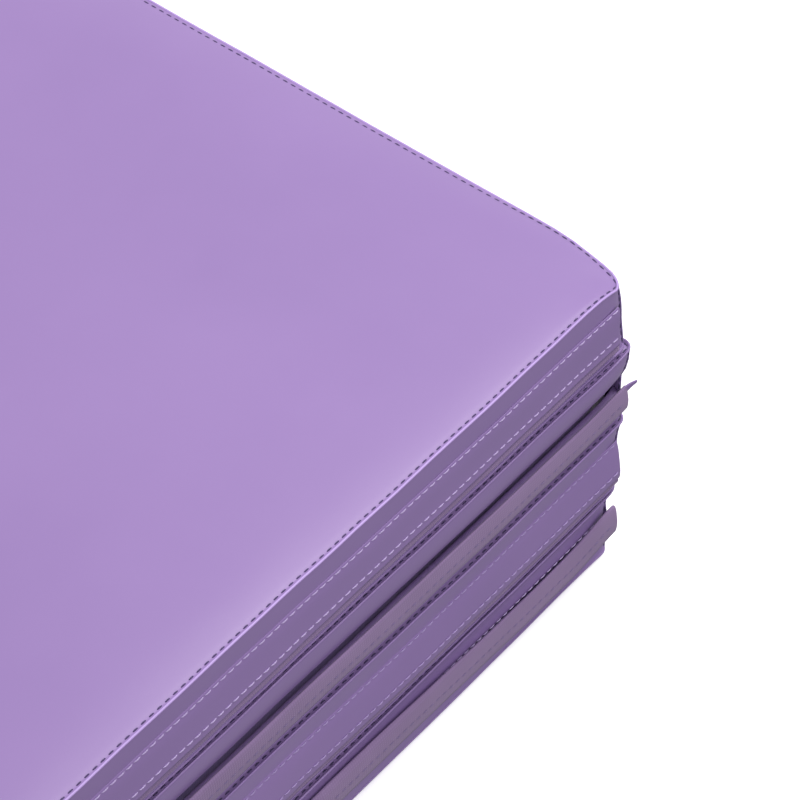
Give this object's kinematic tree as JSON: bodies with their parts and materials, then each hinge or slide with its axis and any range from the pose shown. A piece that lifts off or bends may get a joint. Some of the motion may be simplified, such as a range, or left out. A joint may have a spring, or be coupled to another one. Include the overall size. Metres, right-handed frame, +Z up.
{
  "type": "folding gymnastics mat",
  "caption": "Folding gymnastics mat, stored folded: foam panels in glossy vinyl covers, hinged as an accordion, with flap-covered zips, carry handles and joining strips.",
  "frame": {"origin": "centre of the underside of the bottom panel, with the mat folded", "axes": "+Z up; X across the panels from one hinge side to the other; +Y along the panels, away from the zip side"},
  "size_m": [0.6112, 1.2067, 0.2015],
  "materials": {
    "vinyl": "glossy lavender-purple vinyl with a fine leather grain",
    "vinyl_reverse": "grey-lilac woven backing, the reverse side of the vinyl",
    "foam": "closed-cell polyethylene foam, matte",
    "zip_tape": "dark violet zip tape and coil",
    "zip_metal": "dark enamelled zip slider and pull",
    "webbing": "woven polypropylene webbing, dark violet",
    "hook_and_loop": "matte hook-and-loop tape"
  },
  "bodies": {
    "panel1": {"panel1_foam_core": "foam", "panel1_top_sheet": "vinyl", "panel1_bottom_sheet": "vinyl", "panel1_wall_left": "vinyl", "panel1_wall_right": "vinyl", "panel1_wall_back": "vinyl", "panel1_front_strip_top": "vinyl", "panel1_front_strip_bottom": "vinyl", "panel1_zip_tape": "zip_tape", "hook_strip": "hook_and_loop"},
    "panel2": {"panel2_foam_core": "foam", "panel2_top_sheet": "vinyl", "panel2_bottom_sheet": "vinyl", "panel2_wall_left": "vinyl", "panel2_wall_right": "vinyl", "panel2_wall_back": "vinyl", "panel2_front_strip_top": "vinyl", "panel2_front_strip_bottom": "vinyl", "panel2_zip_tape": "zip_tape", "hinge_strip_1_2": "vinyl", "carry_handle_2": "webbing", "handle_patch_2_front": "vinyl", "handle_patch_2_back": "vinyl"},
    "panel3": {"panel3_foam_core": "foam", "panel3_top_sheet": "vinyl", "panel3_bottom_sheet": "vinyl", "panel3_wall_left": "vinyl", "panel3_wall_right": "vinyl", "panel3_wall_back": "vinyl", "panel3_front_strip_top": "vinyl", "panel3_front_strip_bottom": "vinyl", "panel3_zip_tape": "zip_tape", "hinge_strip_2_3": "vinyl", "carry_handle_3": "webbing", "handle_patch_3_front": "vinyl", "handle_patch_3_back": "vinyl"},
    "panel4": {"panel4_foam_core": "foam", "panel4_top_sheet": "vinyl", "panel4_bottom_sheet": "vinyl", "panel4_wall_left": "vinyl", "panel4_wall_right": "vinyl", "panel4_wall_back": "vinyl", "panel4_front_strip_top": "vinyl", "panel4_front_strip_bottom": "vinyl", "panel4_zip_tape": "zip_tape", "hinge_strip_3_4": "vinyl", "loop_strip": "hook_and_loop"},
    "flap1": {"panel1_zip_flap": "vinyl"},
    "slider1": {"panel1_zip_slider": "zip_metal"},
    "pull1": {"panel1_zip_pull": "zip_metal"},
    "flap2": {"panel2_zip_flap": "vinyl_reverse"},
    "slider2": {"panel2_zip_slider": "zip_metal"},
    "pull2": {"panel2_zip_pull": "zip_metal"},
    "flap3": {"panel3_zip_flap": "vinyl"},
    "slider3": {"panel3_zip_slider": "zip_metal"},
    "pull3": {"panel3_zip_pull": "zip_metal"},
    "flap4": {"panel4_zip_flap": "vinyl_reverse"},
    "slider4": {"panel4_zip_slider": "zip_metal"},
    "pull4": {"panel4_zip_pull": "zip_metal"}
  },
  "joints": [
    {"name": "fold_3_4", "type": "hinge", "parent": "panel4", "child": "panel3", "pos_m": [-0.306, 0, 0.05025], "axis": [0, -1, 0], "range_deg": [0, 180], "deforming": ["hinge_strip_3_4"]},
    {"name": "fold_2_3", "type": "hinge", "parent": "panel3", "child": "panel2", "pos_m": [0.306, 0, 0.10075], "axis": [0, 1, 0], "range_deg": [0, 180], "deforming": ["hinge_strip_2_3"]},
    {"name": "fold_1_2", "type": "hinge", "parent": "panel2", "child": "panel1", "pos_m": [-0.306, 0, 0.15125], "axis": [0, -1, 0], "range_deg": [0, 180], "deforming": ["hinge_strip_1_2"]},
    {"name": "flap_1", "type": "hinge", "parent": "panel1", "child": "flap1", "pos_m": [0, -0.6014, 0.1845], "axis": [-1, 0, 0], "range_deg": [0, 150]},
    {"name": "slider_1", "type": "slide", "parent": "panel1", "child": "slider1", "axis": [-1, 0, 0], "range_m": [-0.52, 0]},
    {"name": "pull_1", "type": "hinge", "parent": "slider1", "child": "pull1", "pos_m": [-0.26895, -0.5995, 0.1782], "axis": [0, 0, 1], "range_deg": [0, 150]},
    {"name": "flap_2", "type": "hinge", "parent": "panel2", "child": "flap2", "pos_m": [0, -0.6022, 0.1235], "axis": [-1, 0, 0], "range_deg": [0, 150]},
    {"name": "slider_2", "type": "slide", "parent": "panel2", "child": "slider2", "axis": [-1, 0, 0], "range_m": [-0.52, 0]},
    {"name": "pull_2", "type": "hinge", "parent": "slider2", "child": "pull2", "pos_m": [-0.26895, -0.5995, 0.1243], "axis": [0, 0, 1], "range_deg": [0, 150]},
    {"name": "flap_3", "type": "hinge", "parent": "panel3", "child": "flap3", "pos_m": [0, -0.6014, 0.0835], "axis": [-1, 0, 0], "range_deg": [0, 150]},
    {"name": "slider_3", "type": "slide", "parent": "panel3", "child": "slider3", "axis": [-1, 0, 0], "range_m": [-0.52, 0]},
    {"name": "pull_3", "type": "hinge", "parent": "slider3", "child": "pull3", "pos_m": [-0.26895, -0.5995, 0.0772], "axis": [0, 0, 1], "range_deg": [0, 150]},
    {"name": "flap_4", "type": "hinge", "parent": "panel4", "child": "flap4", "pos_m": [0, -0.6022, 0.031], "axis": [-1, 0, 0], "range_deg": [0, 150]},
    {"name": "slider_4", "type": "slide", "parent": "panel4", "child": "slider4", "axis": [-1, 0, 0], "range_m": [-0.52, 0]},
    {"name": "pull_4", "type": "hinge", "parent": "slider4", "child": "pull4", "pos_m": [-0.26895, -0.5995, 0.0233], "axis": [0, 0, 1], "range_deg": [0, 150]}
  ],
  "couplings": [
    {"joint": "fold_2_3", "follows": "fold_3_4", "ratio": 1}
  ]
}
